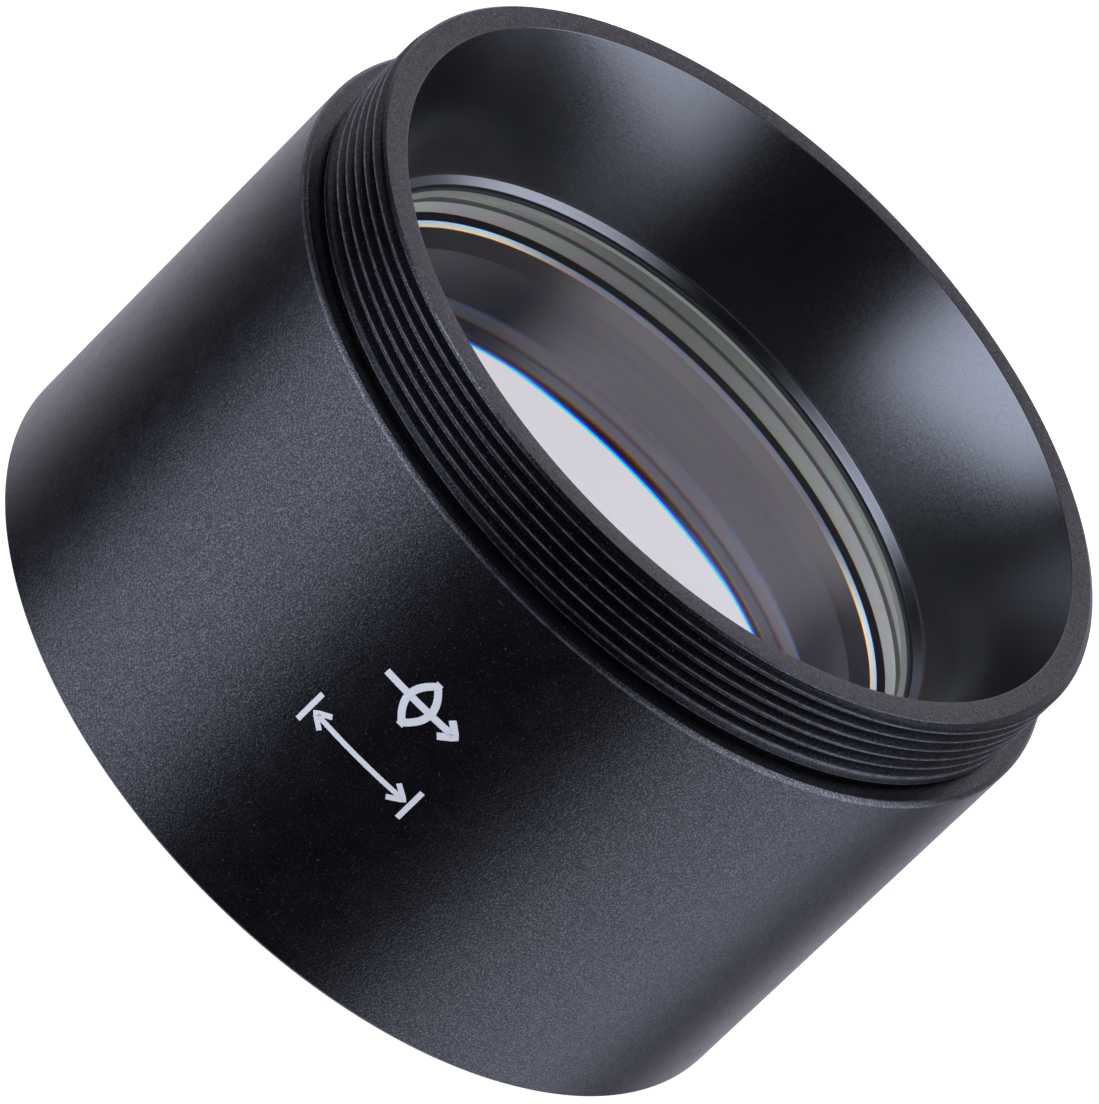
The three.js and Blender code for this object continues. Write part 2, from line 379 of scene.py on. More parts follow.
def edge_highlights_and_groove_shade(tree):
    """First 1 on the thread's crests and on the edges of the collar and shoulder, where a lighter colour
    paints in their highlights. Then the share of shine that is left, less on the thread's flanks, which
    paints shade into the grooves."""
    radius, height = cylinder_coordinates(tree)
    highlit = crest_highlights(tree, radius, height)
    for edge in (collar_edge_highlight(tree, radius, height), shoulder_edge_highlight(tree, radius, height)):
        highlit = calculate(tree, "MAXIMUM", highlit, edge)
    above_collar = beyond(tree, height, THREAD_LOW_Z, EDGE_FADE)
    below_rim = short_of(tree, height, RIM_Z - RIM_CHAMFER - 0.1, fade=0.1)
    flanks = calculate(tree, "SUBTRACT", product(tree, above_collar, below_rim), highlit)
    uneven = remap(tree, noise(tree, 0.5, detail=4.0), 0.35, 0.65, 0.25, 1.0)
    return product(tree, highlit, uneven), remap(tree, flanks, 0.0, 1.0, 1.0, GROOVE_SHADE_SHINE)


def blasted_black():
    """Bead-blasted aluminium, anodised black: a fine grain, with bright specks painted in as glints."""
    material, tree = new_material("blasted_black_anodise")
    grain = noise(tree, 0.088, roughness=0.7)
    dimples = noise(tree, 0.16, roughness=0.7)
    patches = noise(tree, 1.6)
    # bright specks: painted glints
    glint_speck = remap(tree, noise(tree, 0.13, detail=1.0), 0.66, 0.80)
    dark = blend_colors(tree, patches, rgb(0.0014, 0.0011, 0.0019), rgb(0.0026, 0.0021, 0.0034))
    glint_specked = blend_colors(tree, glint_speck, dark, rgb(0.040, 0.038, 0.044))
    edge_highlight, shine = edge_highlights_and_groove_shade(tree)
    pits = bumped(tree, dimples, depth_mm=0.016, strength=0.9)
    settings = {
        # lighter on the crests and edges: painted highlights
        "Base Color": blend_colors(tree, edge_highlight, glint_specked, rgb(0.085, 0.080, 0.090)),
        "Roughness": remap(tree, patches, 0.3, 0.7, 0.25, 0.29),
        # less shine on the thread's flanks: painted shade in the grooves
        "Specular IOR Level": product(tree, remap(tree, grain, 0.46, 0.70, 0.20, 0.90), shine),
        "IOR": 1.8,
        "Normal": bumped(tree, grain, depth_mm=0.005, strength=0.9, normal=pits),
    }
    return principled(material, tree, settings)


def satin_black(name, roughness, base, reflection, grain_depth, lip_sheen=0.0):
    """Turned and lightly blasted black, smoother than the outside. Inside the lip's radius, the last
    argument's share of the black turns to grey metal, which paints a highlight on the lip's edge."""
    material, tree = new_material(name)
    grain = noise(tree, 0.11)
    black = blend_colors(tree, noise(tree, 1.2), grey(base * 0.8), grey(base * 1.3))
    radius, _ = cylinder_coordinates(tree)
    # grey metal inside the lip's radius: a painted highlight
    lip_sheen_mask = remap(tree, radius, LIP_R + LIP_CHAMFER, LIP_R + LIP_CHAMFER + EDGE_FADE, lip_sheen, 0.0)
    blasted = bumped(tree, grain, grain_depth, strength=0.7)
    settings = {
        "Base Color": blend_colors(tree, lip_sheen_mask, black, grey(0.15)),
        "Metallic": lip_sheen_mask,
        "Roughness": remap(tree, grain, 0.3, 0.7, roughness - 0.03, roughness + 0.04),
        "IOR": 1.7,
        "Specular IOR Level": remap(tree, grain, 0.3, 0.7, reflection * 0.85, reflection * 1.15),
        "Normal": bumped(tree, turning_marks(tree, 0.32), depth_mm=0.001, strength=0.5, normal=blasted),
    }
    return principled(material, tree, settings)


def plain_rough(name, dark, light, roughness, bump_mm, size_mm=0.3):
    material, tree = new_material(name)
    grain = noise(tree, size_mm, detail=4.0)
    settings = {
        "Base Color": blend_colors(tree, grain, dark, light),
        "Roughness": remap(tree, grain, 0.3, 0.7, roughness - 0.06, roughness + 0.06),
        "Normal": bumped(tree, grain, bump_mm, strength=0.8),
    }
    return principled(material, tree, settings)


def bright_cut():
    """Bare aluminium left by the last cut. Painted shade darkens it to purple grey towards the back.
    Elsewhere a painted glow stands in for the light from the floor that the real glass gathers onto it, in
    a painted colour fringe from cool to warm."""
    material, tree = new_material("turned_aluminium_painted_glow")
    back = node(tree, "ShaderNodeSeparateXYZ", {"Vector": object_coordinates(tree)}).outputs["Y"]
    # painted shade towards the back, in purple grey
    back_shade = remap(tree, back, 0.58 * STACK_R * MM, 0.88 * STACK_R * MM, 0.0, BACK_SHADE_MAX, smooth=True)
    radius, _ = cylinder_coordinates(tree)
    across = remap(tree, radius, CROWN_SURFACE[1] - BRIGHT_WIDTH, CROWN_SURFACE[1])
    # painted colour fringe, warm inside and cool outside
    painted_fringe = blend_colors(tree, across, rgb(1.0, 0.84, 0.52), rgb(0.55, 0.78, 1.0))
    settings = {
        "Base Color": blend_colors(tree, back_shade, painted_fringe, rgb(0.20, 0.17, 0.25)),
        "Roughness": remap(tree, noise(tree, 3.0), 0.3, 0.7, 0.42, 0.46),
        "Metallic": 1.0,
        "Emission Color": painted_fringe,
        # painted glow, none where the back is shaded
        "Emission Strength": remap(tree, back_shade, 0.0, BACK_SHADE_MAX, FRINGE_GLOW, 0.0),
    }
    return principled(material, tree, settings)


def floor_glow(tree):
    """Light from the pale floor that the real inner walls mirror: strong at the back, none at the sides."""
    outward = level_direction(tree, object_coordinates(tree))
    towards = vector_math(tree, "DOT_PRODUCT", outward, (math.cos(PALE_SIDE), math.sin(PALE_SIDE), 0))
    glow = remap(tree, towards, GLOW_STARTS, GLOW_FULL, 0.0, FLOOR_GLOW, smooth=True)
    bloom = remap(tree, noise(tree, 5.0, detail=3.0), 0.3, 0.7, 0.94, 1.06)
    return product(tree, glow, bloom)


def spacer_black():
    """Satin black tube wall with a painted glow for the pale floor that it mirrors, strongest at the back,
    and faint rings from the lathe in that glow.
    """
    material, tree = new_material("satin_black_spacer")
    rings = remap(tree, turning_marks(tree, 1.3), 0.1, 0.9, 0.95, 1.05)
    black = blend_colors(tree, noise(tree, 1.2), rgb(0.018, 0.016, 0.017), rgb(0.030, 0.026, 0.028))
    settings = {
        "Base Color": black,
        "Roughness": 0.45,
        "IOR": 1.6,
        "Emission Color": INNER_LIGHT,
        "Emission Strength": product(tree, floor_glow(tree), rings),
    }
    return principled(material, tree, settings)


def lit_from_below(name, dark, light, glow):
    """Matt surface inside the lens, with a painted glow for the floor's light that it catches."""
    material, tree = new_material(name)
    grain = noise(tree, 0.25, detail=4.0)
    settings = {
        "Base Color": blend_colors(tree, grain, dark, light),
        "Roughness": 0.6,
        "Normal": bumped(tree, grain, depth_mm=0.004, strength=0.8),
        "Emission Color": INNER_LIGHT,
        "Emission Strength": product(tree, floor_glow(tree), glow),
    }
    return principled(material, tree, settings)


def unseen_by_light(tree):
    """1 for shadow and diffuse rays, which cross glass in a straight line."""
    path = node(tree, "ShaderNodeLightPath").outputs
    return calculate(tree, "MAXIMUM", path["Is Shadow Ray"], path["Is Diffuse Ray"])


def refraction(tree, spread):
    """Light bent at a polished surface, in three colours when spread isn't 0."""
    bands = [(GLASS_TINT, 0.0)]
    if spread:
        red, green, blue, _ = GLASS_TINT
        bands = [(rgb(red, 0, 0), -spread), (rgb(0, green, 0), 0.0), (rgb(0, 0, blue), spread)]
    through = None
    for color, shift in bands:
        settings = {"Color": color, "Roughness": 0.0, "IOR": GLASS_IOR + shift}
        bent = node(tree, "ShaderNodeBsdfRefraction", settings).outputs[0]
        if through is not None:
            bent = node(tree, "ShaderNodeAddShader", {0: through, 1: bent}).outputs[0]
        through = bent
    return through


def polished_glass(name, spread=0.0):
    """Coated glass surface, which mirrors little except where all the light is turned back inside."""
    material, tree = new_material(name)
    smear = remap(tree, noise(tree, 9.0, detail=3.0), 0.35, 0.75, 0.0, 0.012)
    through = refraction(tree, spread)
    fresnel = node(tree, "ShaderNodeFresnel", {"IOR": GLASS_IOR}).outputs[0]
    weak = product(tree, fresnel, COATING_SHARE)
    share = calculate(tree, "MAXIMUM", weak, remap(tree, fresnel, 0.6, 1.0))
    mirror = node(tree, "ShaderNodeBsdfAnisotropic", {"Color": COAT_COLOR, "Roughness": smear}).outputs[0]
    clear = node(tree, "ShaderNodeBsdfTransparent").outputs[0]
    seen = mixed_shader(tree, unseen_by_light(tree), mixed_shader(tree, share, through, mirror), clear)
    node(tree, "ShaderNodeOutputMaterial", {"Surface": seen})
    return material


def cement():
    """The cemented joint between two lenses, which light crosses unbent."""
    material, tree = new_material("optical_cement")
    haze = remap(tree, noise(tree, 6.0), 0.4, 0.8, 0.985, 0.96)
    color = node(tree, "ShaderNodeCombineColor", {0: haze, 1: haze, 2: haze}).outputs[0]
    clear = node(tree, "ShaderNodeBsdfTransparent", {"Color": color}).outputs[0]
    node(tree, "ShaderNodeOutputMaterial", {"Surface": clear})
    return material


def ground_glass(name, dark, light):
    """Fine-ground edge of a lens, seen from outside and through the glass."""
    return plain_rough(name, dark, light, 0.6, 0.004, size_mm=0.25)


def floor_material():
    """Pale sheet that glows a little, so that it looks evenly lit. It can't be seen from below."""
    material, tree = new_material("pale_sheet")
    weave = noise(tree, 2.0, detail=4.0)
    tone = blend_colors(tree, weave, grey(0.62), grey(0.66))
    matt = node(tree, "ShaderNodeBsdfDiffuse", {"Color": tone}).outputs[0]
    glow = node(tree, "ShaderNodeEmission", {"Color": grey(1.0), "Strength": 0.86}).outputs[0]
    top = node(tree, "ShaderNodeAddShader", {0: matt, 1: glow}).outputs[0]
    behind = node(tree, "ShaderNodeNewGeometry").outputs["Backfacing"]
    clear = node(tree, "ShaderNodeBsdfTransparent").outputs[0]
    node(tree, "ShaderNodeOutputMaterial", {"Surface": mixed_shader(tree, behind, top, clear)})
    return material


BLASTED = blasted_black()
# the cone's lip turns to grey metal: a painted highlight
SATIN = satin_black("satin_black_cone", 0.23, 0.003, reflection=0.78, grain_depth=0.0019, lip_sheen=1.0)
TUBE_BLACK = satin_black("satin_black_tube", 0.36, 0.012, reflection=0.7, grain_depth=0.0012)
SPACER_BLACK = spacer_black()
# the slip washer's grey and its glow are painted light from the floor below
SLIP_FILM = lit_from_below("film_with_painted_floor_light", grey(0.14), grey(0.20), 1.0)
FILM = plain_rough("black_film", grey(0.030), grey(0.045), 0.5, 0.004)
# its glow is painted light from the floor
RUBBER = lit_from_below("nitrile_rubber", grey(0.025), grey(0.040), 0.7)
CEMENT_RIM = plain_rough("cement_at_the_edge", rgb(0.13, 0.125, 0.11), rgb(0.18, 0.175, 0.15), 0.6, 0.002)
LACQUER = plain_rough("black_edge_lacquer", grey(0.004), grey(0.008), 0.5, 0.002)
BRIGHT_CUT = bright_cut()
INK = plain_rough("white_ink", rgb(0.66, 0.64, 0.60), rgb(0.75, 0.73, 0.69), 0.5, 0.006, size_mm=0.12)
COATED_TOP = polished_glass("coated_glass_top", spread=0.018)
COATED = polished_glass("coated_glass")
CEMENT = cement()
FLINT_EDGE = ground_glass("ground_edge_flint", rgb(0.48, 0.48, 0.38), rgb(0.58, 0.58, 0.47))
CROWN_EDGE = ground_glass("ground_edge_crown", rgb(0.62, 0.60, 0.49), rgb(0.74, 0.72, 0.60))
# its glow is painted light from the floor
SINGLET_EDGE = lit_from_below("ground_edge_lower", rgb(0.40, 0.385, 0.40), rgb(0.50, 0.48, 0.50), 0.6)

# ---- the casing ----
ZONE_BLASTED, ZONE_SATIN, ZONE_TUBE = 0, 1, 2


def neck_envelope(z):
    """Radius of the threaded neck before the thread is cut."""
    return min(THREAD_R, THREAD_R - RIM_CHAMFER + RIM_Z - z)


def groove_radius(z, turns):
    """Radius that the thread cuts to, at height z and a number of turns round from the front."""
    from_centre = z - GROOVE_FRONT_Z - THREAD_PITCH * turns
    offset = from_centre - THREAD_PITCH * round(from_centre / THREAD_PITCH)
    share = min(1.0, max(0.0, (z - offset - GROOVE_END_Z) / GROOVE_FADE))
    depth = THREAD_DEPTH * share
    slope_depth = (abs(offset) - GROOVE_ROOT_HALF) / math.tan(THREAD_HALF_ANGLE)
    return THREAD_R - depth + max(0.0, slope_depth)


def thread_column(column):
    """Outline of the neck at one angle. The rows follow the helix, and stop at its two ends."""
    turns = column / COLUMNS
    start = THREAD_LOW_Z - THREAD_PITCH * (1 + 1 / ROWS_PER_PITCH)
    count = math.ceil((RIM_Z - start) / THREAD_PITCH * ROWS_PER_PITCH) + 1
    points = []
    for row in range(count):
        z = start + THREAD_PITCH * (turns + row / ROWS_PER_PITCH)
        z = min(RIM_Z, max(THREAD_LOW_Z, z))
        points.append((min(neck_envelope(z), groove_radius(z, turns)), z, ZONE_BLASTED))
    return points


def casing_outline_below():
    corners = [
        (RING_BORE_R, RING_BORE_TOP_Z, ZONE_TUBE),
        (RING_BORE_R, MOUTH_FLARE_Z, ZONE_SATIN, TURNED_EDGE),
        (MOUTH_R, 0, ZONE_BLASTED, SOFT_EDGE),
        (BARREL_R - BARREL_CHAMFER, 0, ZONE_BLASTED, TURNED_EDGE),
        (BARREL_R, BARREL_CHAMFER, ZONE_BLASTED, TURNED_EDGE),
        (BARREL_R, SHOULDER_Z - BARREL_CHAMFER, ZONE_BLASTED, SOFT_EDGE),
        (BARREL_R - BARREL_CHAMFER, SHOULDER_Z, ZONE_BLASTED, SOFT_EDGE),
        (UNDERCUT_R, SHOULDER_Z, ZONE_BLASTED, FINE_EDGE),
        (UNDERCUT_R, COLLAR_Z, ZONE_BLASTED, FINE_EDGE),
        (THREAD_R - COLLAR_CHAMFER, COLLAR_Z, ZONE_BLASTED, COLLAR_EDGE),
        (THREAD_R, THREAD_LOW_Z, ZONE_BLASTED),
    ]
    return rounded(corners, closed=False)[:-1]


def casing_outline_above():
    corners = [
        (THREAD_R - RIM_CHAMFER, RIM_Z, ZONE_BLASTED),
        (RIM_INNER_R, RIM_Z, ZONE_SATIN, THIN_EDGE),
        (LIP_R + LIP_CHAMFER, LIP_TOP_Z, ZONE_SATIN, THIN_EDGE),
        (LIP_R, LIP_TOP_Z - LIP_CHAMFER, ZONE_SATIN, FINE_EDGE),
        (LIP_R, SEAT_Z, ZONE_TUBE, SEAT_EDGE),
        (BORE_R, SEAT_Z, ZONE_TUBE),
        (BORE_R, RING_BORE_TOP_Z, ZONE_TUBE),
    ]
    return rounded(corners, closed=False)[1:]


def barrel_casing():
    """Every column is the whole outline at one angle. The helix climbs one pitch from the first column
    to the last, so the last joins the first that many rows up."""
    below, above = casing_outline_below(), casing_outline_above()
    vertices, zones, faces = [], [], []
    for column in range(COLUMNS):
        angle = FRONT + TURN * column / COLUMNS
        outline = below + thread_column(column) + above
        vertices += [(r * math.cos(angle), r * math.sin(angle), z) for r, z, _ in outline]
    size = len(outline)
    top_row = size - len(above) - 1

    def next_turn(i):
        return min(i + ROWS_PER_PITCH, top_row) if len(below) <= i <= top_row else i

    for column in range(COLUMNS):
        is_last = column == COLUMNS - 1
        for i in range(size):
            j = (i + 1) % size
            here = column * size
            ahead = 0 if is_last else here + size
            i_ahead, j_ahead = (next_turn(i), next_turn(j)) if is_last else (i, j)
            faces.append((here + i, ahead + i_ahead, ahead + j_ahead, here + j))
            zones.append(outline[i][2])
    materials = [BLASTED, SATIN, TUBE_BLACK]
    return new_piece("barrel_casing", vertices, faces, zones, materials, sharp_degrees=40)


# ---- the optics and what holds them ----
ZONE_BELOW, ZONE_EDGE, ZONE_ABOVE, ZONE_BEVEL = 0, 1, 2, 3


def sag(sphere, r):
    return sphere - math.sqrt(sphere * sphere - r * r)


def surface_points(surface, edge_z, zone):
    """Points of a polished surface from the axis out to its clear radius."""
    sphere, clear = surface
    points = []
    for step in range(ARC_STEPS + 1):
        r = clear * step / ARC_STEPS
        points.append((r, edge_z - sag(sphere, clear) + sag(sphere, r), zone))
    return points


def lens(name, below, below_z, above, above_z, materials, bevels=(LENS_BEVEL, LENS_BEVEL)):
    """A lens from its lower surface, round the bevelled ground edge, to its upper surface."""
    low_bevel, high_bevel = bevels
    edge = [
        (STACK_R - low_bevel, below_z, ZONE_BEVEL),
        (STACK_R, below_z + low_bevel, ZONE_EDGE),
        (STACK_R, above_z - high_bevel, ZONE_EDGE),
        (STACK_R - high_bevel, above_z, ZONE_EDGE),
    ]
    lower = surface_points(below, below_z, ZONE_BELOW)
    lower[-1] = (*lower[-1][:2], ZONE_BEVEL)
    if above:
        upper = surface_points(above, above_z, ZONE_ABOVE)[::-1]
    else:
        upper = [(STACK_R - 2 * LENS_BEVEL, above_z, ZONE_ABOVE), (0, above_z, ZONE_ABOVE)]
    return turned(name, lower + edge + upper, materials, closed=False, sharp_degrees=9)


def flint_element():
    bottom_z = CEMENT_Z + JOINT_GAP / 2
    materials = [CEMENT, FLINT_EDGE, COATED_TOP, CEMENT_RIM]
    bevels = (CEMENTED_BEVEL, LENS_BEVEL)
    return lens("flint_element", CEMENTED_SURFACE, bottom_z, TOP_SURFACE, FLINT_TOP_Z, materials, bevels)


def crown_element():
    top_z = CEMENT_Z - JOINT_GAP / 2
    materials = [COATED, CROWN_EDGE, CEMENT, LACQUER]
    bevels = (LENS_BEVEL, CEMENTED_BEVEL)
    return lens("crown_element", CROWN_SURFACE, CROWN_BOTTOM_Z, CEMENTED_SURFACE, top_z, materials, bevels)


def lower_element():
    materials = [COATED, SINGLET_EDGE, COATED, SINGLET_EDGE]
    return lens("lower_element", SINGLET_SURFACE, SINGLET_BOTTOM_Z, None, SINGLET_TOP_Z, materials)


def seat_gasket_film():
    low = FLINT_TOP_Z + JOINT_GAP
    corners = [
        (GASKET_BORE_R, low, 0, FILM_EDGE),
        (STACK_R, low, 0, FILM_EDGE),
        (STACK_R, SEAT_Z - JOINT_GAP, 0, FILM_EDGE),
        (GASKET_BORE_R, SEAT_Z - JOINT_GAP, 0, FILM_EDGE),
    ]
    return turned("seat_gasket_film", rounded(corners), [FILM])


def spacer_sleeve():
    """The top of its inner cone is a bright cut, which shows through the glass with a painted glow."""
    relief_slope = SPACER_RELIEF / (CROWN_SURFACE[1] - SPACER_BORE_R)
    low, high = SINGLET_TOP_Z + JOINT_GAP, CROWN_BOTTOM_Z - JOINT_GAP
    corners = [
        (SPACER_BORE_R, low + SPACER_BEVEL, 0, SEAT_EDGE),
        (SPACER_BORE_R + SPACER_BEVEL, low, 0, SEAT_EDGE),
        (STACK_R, low, 0, THIN_EDGE),
        (STACK_R, high, 0, THIN_EDGE),
        (CROWN_SURFACE[1], high, 1),
        (CROWN_SURFACE[1] - BRIGHT_WIDTH, high - BRIGHT_WIDTH * relief_slope, 0),
        (SPACER_BORE_R, high - SPACER_RELIEF, 0, TURNED_EDGE),
    ]
    return turned("spacer_sleeve", rounded(corners), [SPACER_BLACK, BRIGHT_CUT])


def o_ring_cord():
    radius = (high_z("o_ring") - low_z("o_ring")) / 2
    centre_z = (high_z("o_ring") + low_z("o_ring")) / 2
    outline = []
    for i in range(CORD_POINTS):
        angle = TURN * i / CORD_POINTS
        outline.append((CORD_CENTRE_R + radius * math.cos(angle), centre_z + radius * math.sin(angle), 0))
    return turned("o_ring_cord", outline, [RUBBER])


def slip_washer_disc():
    low, high = low_z("slip_washer"), high_z("slip_washer")
    radius = outer_radius("slip_washer")
    corners = [
        (WASHER_BORE_R, low, 0, FINE_EDGE),
        (radius, low, 0, FINE_EDGE),
        (radius, high, 0, FINE_EDGE),
        (WASHER_BORE_R, high, 0, FINE_EDGE),
    ]
    return turned("slip_washer_disc", rounded(corners), [SLIP_FILM])


def slot_cutter():
    """Long bar across the ring's lower face, which cuts both spanner slots."""
    half_width = SLOT_WIDTH / 2
    vertices = []
    for z in (RING_BOTTOM_Z - SLOT_DEPTH, RING_BOTTOM_Z + SLOT_DEPTH):
        for x, y in ((-1, -1), (1, -1), (1, 1), (-1, 1)):
            vertices.append((x * BARREL_R, y * half_width, z))
    faces = [(3, 2, 1, 0), (4, 5, 6, 7), (0, 1, 5, 4), (1, 2, 6, 5), (2, 3, 7, 6), (3, 0, 4, 7)]
    return new_piece("slot_cutter", vertices, faces, [0] * len(faces), [TUBE_BLACK])


def apply_modifiers(piece):
    graph = bpy.context.evaluated_depsgraph_get()
    piece.data = bpy.data.meshes.new_from_object(piece.evaluated_get(graph))
    piece.modifiers.clear()


def retaining_ring_turned():
    corners = [
        (RING_BOTTOM_BORE_R, RING_BOTTOM_Z, 0, FINE_EDGE),
        (RING_R, RING_BOTTOM_Z, 0, TURNED_EDGE),
        (RING_R, RING_TOP_Z, 0, TURNED_EDGE),
        (RING_TOP_BORE_R, RING_TOP_Z, 0, FINE_EDGE),
        (RING_TOP_BORE_R, RING_TOP_Z - RING_LAND, 0, TURNED_EDGE),
    ]
    piece = turned("retaining_ring_turned", rounded(corners), [TUBE_BLACK])
    cutter = slot_cutter()
    slots = piece.modifiers.new("slots", "BOOLEAN")
    slots.object = cutter
    slots.solver = "EXACT"
    apply_modifiers(piece)
    bpy.data.objects.remove(cutter)
    piece.data.shade_smooth()
    piece.data.set_sharp_from_angle(angle=math.radians(32))
    return piece


# ---- printed marks: a lens symbol, and a span between two bars ----
INK_THICKNESS = 0.01
STROKE_STEP = 0.2  # longest straight stretch of a stroke, so that it follows the barrel


def on_barrel(u, z, height):
    """Point u millimetres round the barrel from its front."""
    angle = FRONT + u / BARREL_R
    r = BARREL_R + height
    return (r * math.cos(angle), r * math.sin(angle), z)


def resampled(points):
    dense = [Vector(points[0])]
    for start, end in zip(points, points[1:]):
        start, end = Vector(start), Vector(end)
        count = max(1, math.ceil((end - start).length / STROKE_STEP))
        dense += [start.lerp(end, i / count) for i in range(1, count + 1)]
    return dense


def stroke(points, width, vertices, faces):
    """A printed line: a thin strip of ink along (u, z) points."""
    dense = resampled(points)
    first = len(vertices)
    for i, point in enumerate(dense):
        along = (dense[min(i + 1, len(dense) - 1)] - dense[max(i - 1, 0)]).normalized()
        side = Vector((-along.y, along.x)) * width / 2
        for u, z in (point - side, point + side):
            vertices.append(on_barrel(u, z, INK_THICKNESS))
            vertices.append(on_barrel(u, z, -INK_THICKNESS))
    for i in range(len(dense) - 1):
        a, b = first + 4 * i, first + 4 * (i + 1)
        faces.append((a, b, b + 2, a + 2))
        faces.append((a + 1, a + 3, b + 3, b + 1))
        faces.append((a, a + 1, b + 1, b))
        faces.append((a + 2, b + 2, b + 3, a + 3))
    end = first + 4 * (len(dense) - 1)
    faces.append((first, first + 2, first + 3, first + 1))
    faces.append((end, end + 1, end + 3, end + 2))


def printed(name, strokes, width):
    vertices, faces = [], []
    for points in strokes:
        stroke(points, width, vertices, faces)
    return new_piece(name, vertices, faces, [0] * len(faces), [INK])


def arc_points(centre_u, centre_z, half_height, bulge):
    """Half of a lens outline, bulging sideways by bulge."""
    steps = 16
    points = []
    for i in range(steps + 1):
        share = 2 * i / steps - 1
        points.append((centre_u + bulge * (1 - share * share), centre_z + half_height * share))
    return points


def arrow_head(tip_u, z, length, half_width):
    """Two strokes that meet at the tip. A negative length points the head to the left."""
    return [(tip_u - length, z - half_width), (tip_u, z), (tip_u - length, z + half_width)]


def lens_mark():
    """A lens outline with an arrow through it."""
    centre_u, centre_z = 1.0, 17.2
    half_height, bulge = 1.5, 0.75
    half_shaft, tip = 2.4, 2.5
    width = 0.42
    strokes = [
        arc_points(centre_u, centre_z, half_height, bulge),
        arc_points(centre_u, centre_z, half_height, -bulge),
        [(centre_u - half_shaft, centre_z), (centre_u + half_shaft, centre_z)],
        arrow_head(centre_u + tip, centre_z, length=0.75, half_width=0.65),
    ]
    for end_z in (centre_z - half_height, centre_z + half_height):
        strokes.append([(centre_u - width / 2, end_z), (centre_u + width / 2, end_z)])
    return printed("mark_lens_symbol", strokes, width)


def span_mark():
    """A two-headed arrow between two bars."""
    centre_u, centre_z = 0.75, 12.4
    half_length, half_height = 3.6, 1.05
    shaft_gap, tip_gap = 0.45, 0.4
    left, right = centre_u - half_length, centre_u + half_length
    low, high = centre_z - half_height, centre_z + half_height
    strokes = [
        [(left, low), (left, high)],
        [(right, low), (right, high)],
        [(left + shaft_gap, centre_z), (right - shaft_gap, centre_z)],
        arrow_head(right - tip_gap, centre_z, length=0.8, half_width=0.55),
        arrow_head(left + tip_gap, centre_z, length=-0.8, half_width=0.55),
    ]
    return printed("mark_span_symbol", strokes, width=0.31)


# ---- assembly ----
BARREL_BODY, WASHER_BODY, RING_BODY = "body_and_optics", "washer_carrier", "ring_carrier"


def place(piece, body, slot, *nodes):
    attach(piece, body)
    if nodes:
        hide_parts(*nodes)


def build_object():
    place(barrel_casing(), BARREL_BODY, "blasted_black", "casing")
    place(seat_gasket_film(), BARREL_BODY, "black_film", "seat_gasket")
    place(flint_element(), BARREL_BODY, "flint_glass", "upper_flint_lens")
    place(crown_element(), BARREL_BODY, "crown_glass", "upper_crown_lens")
    place(spacer_sleeve(), BARREL_BODY, "satin_black", "spacer_tube")
    place(lower_element(), BARREL_BODY, "crown_glass", "lower_lens")
    place(o_ring_cord(), BARREL_BODY, "rubber", "o_ring")
    place(slip_washer_disc(), WASHER_BODY, "black_film", "slip_washer")
    place(retaining_ring_turned(), RING_BODY, "satin_black", "retaining_ring")
    place(lens_mark(), BARREL_BODY, "white_ink")
    place(span_mark(), BARREL_BODY, "white_ink")


# ---- studio ----
FLOOR_RADIUS = 6.0  # metres
FLOOR_DROP = 0.02 * MM

# Each light: azimuth from the front towards the viewer's right, half-widths in degrees at which it is full
# and at which it has faded out, strength and colour.
SOFTBOXES = (
    (-55, 6, 40, 1.85, rgb(0.72, 0.79, 1.0)),
    (85, 8, 49, 1.40, rgb(0.74, 0.80, 1.0)),
)
BACKDROP = (188, 8, 62, 0.66, rgb(0.98, 0.93, 1.10))
UPPER_LIGHT = 2.5  # how much stronger the soft lights are above the horizon than below it
AMBIENT = rgb(0.010, 0.009, 0.012)


def floor():
    steps = 96
    points = [(0, 0, -FLOOR_DROP)]
    for i in range(steps):
        angle = TURN * i / steps
        points.append((FLOOR_RADIUS * math.cos(angle), FLOOR_RADIUS * math.sin(angle), -FLOOR_DROP))
    mesh = bpy.data.meshes.new("floor")
    mesh.from_pydata(points, [], [(0, i + 1, (i + 1) % steps + 1) for i in range(steps)])
    mesh.materials.append(floor_material())
    sheet = bpy.data.objects.new("floor", mesh)
    bpy.context.scene.collection.objects.link(sheet)
    sheet.visible_glossy = False
    sheet.visible_diffuse = False
    sheet.visible_shadow = False


def softbox(tree, direction, azimuth, full, faded, strength, color):
    """Colour of an upright patch of light in the world, the same at every height."""
    axis = (math.sin(math.radians(azimuth)), -math.cos(math.radians(azimuth)), 0)
    closeness = vector_math(tree, "DOT_PRODUCT", level_direction(tree, direction), axis)
    edge, core = math.cos(math.radians(faded)), math.cos(math.radians(full))
    share = remap(tree, closeness, edge, core, 0.0, strength, smooth=True)
    return scaled(tree, color[:3], share)


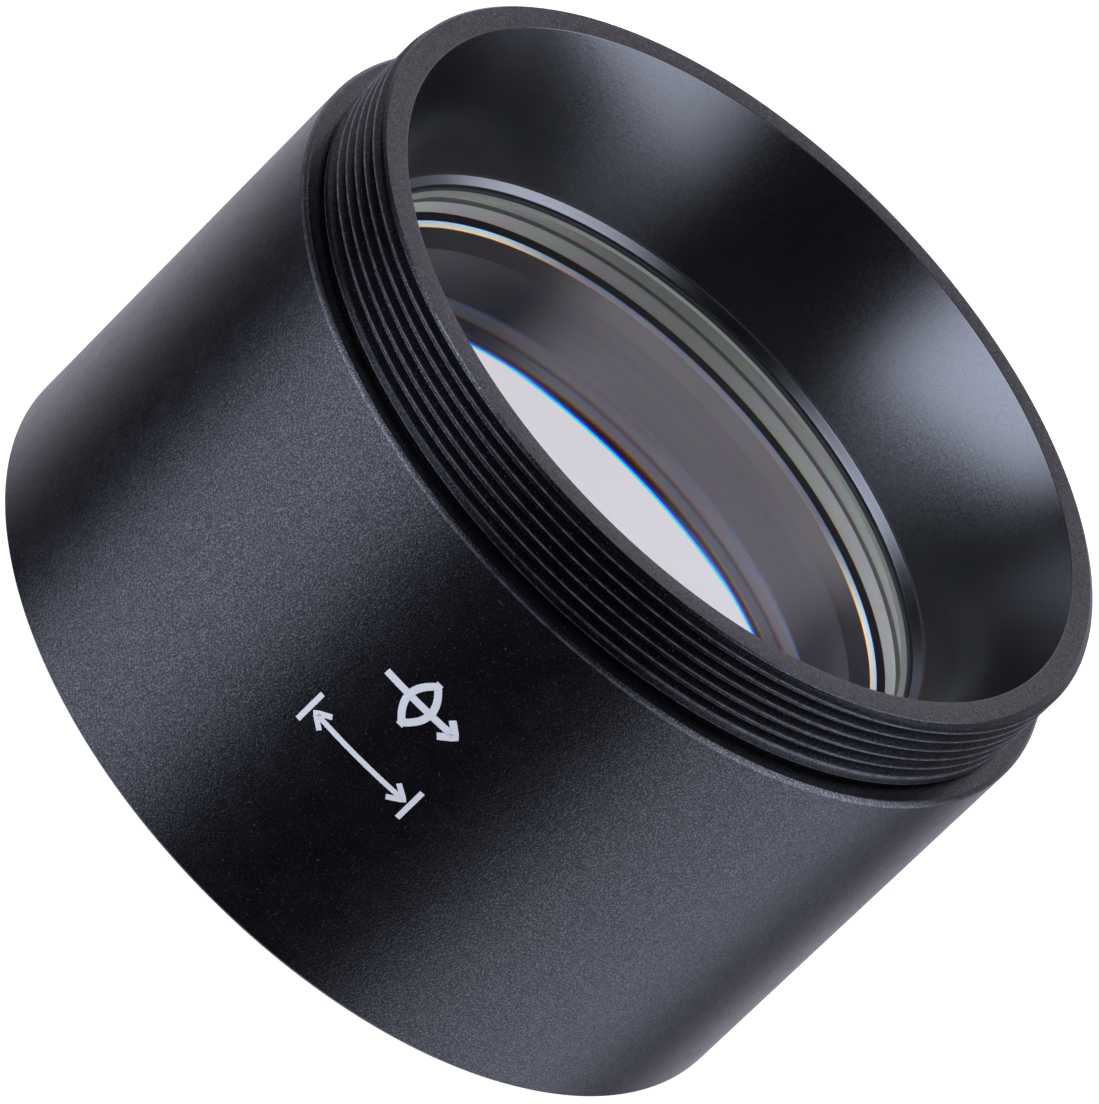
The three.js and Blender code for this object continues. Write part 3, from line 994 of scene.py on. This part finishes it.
def room_light(tree):
    """Colour of the soft lights and the backdrop in a dark room, fading overhead and underneath."""
    direction = node(tree, "ShaderNodeTexCoord").outputs["Generated"]
    height = node(tree, "ShaderNodeSeparateXYZ", {"Vector": direction}).outputs["Z"]
    boost = remap(tree, height, -0.35, 0.0, 1.0, UPPER_LIGHT, smooth=True)
    light = AMBIENT[:3]
    for box in SOFTBOXES:
        light = vector_math(tree, "ADD", light, scaled(tree, softbox(tree, direction, *box), boost))
    light = vector_math(tree, "ADD", light, softbox(tree, direction, *BACKDROP))
    overhead = remap(tree, height, 0.62, 0.90, 1.0, 0.04, smooth=True)
    underneath = remap(tree, height, -0.95, -0.75, 0.3, 1.0, smooth=True)
    return scaled(tree, light, product(tree, overhead, underneath))


def studio():
    """White to the camera and through glass; soft lights in a dark room for everything else."""
    world = bpy.data.worlds.new("studio")
    bpy.context.scene.world = world
    world.use_nodes = True
    tree = world.node_tree
    tree.nodes.clear()
    room = node(tree, "ShaderNodeBackground", {"Color": room_light(tree)}).outputs[0]
    white = node(tree, "ShaderNodeBackground", {"Color": grey(1.0)}).outputs[0]
    path = node(tree, "ShaderNodeLightPath").outputs
    direct = calculate(tree, "MAXIMUM", path["Is Camera Ray"], path["Is Transmission Ray"])
    node(tree, "ShaderNodeOutputWorld", {"Surface": mixed_shader(tree, direct, room, white)})


CAMERA_DISTANCE = 0.6407  # metres from the middle of the bottom face
CAMERA_ELEVATION = math.radians(30.65)
CAMERA_ROLL = math.radians(45.71)
CAMERA_TARGET = Vector((0.05, 0, 14.72)) * MM
CAMERA_LENS = 391.3  # focal length in millimetres


def camera():
    """Long lens, rolled so that the barrel leans across the frame."""
    data = bpy.data.cameras.new("camera")
    data.lens = CAMERA_LENS
    data.clip_start, data.clip_end = 0.01, 50.0
    eye = bpy.data.objects.new("camera", data)
    bpy.context.scene.collection.objects.link(eye)
    away = Vector((0, -math.cos(CAMERA_ELEVATION), math.sin(CAMERA_ELEVATION)))
    eye.location = away * CAMERA_DISTANCE
    upright = (CAMERA_TARGET - eye.location).to_track_quat("-Z", "Y")
    eye.rotation_mode = "QUATERNION"
    eye.rotation_quaternion = upright @ Quaternion((0, 0, 1), CAMERA_ROLL)
    bpy.context.scene.camera = eye


build_object()
floor()
studio()
camera()
bpy.context.scene.view_settings.view_transform = "Standard"
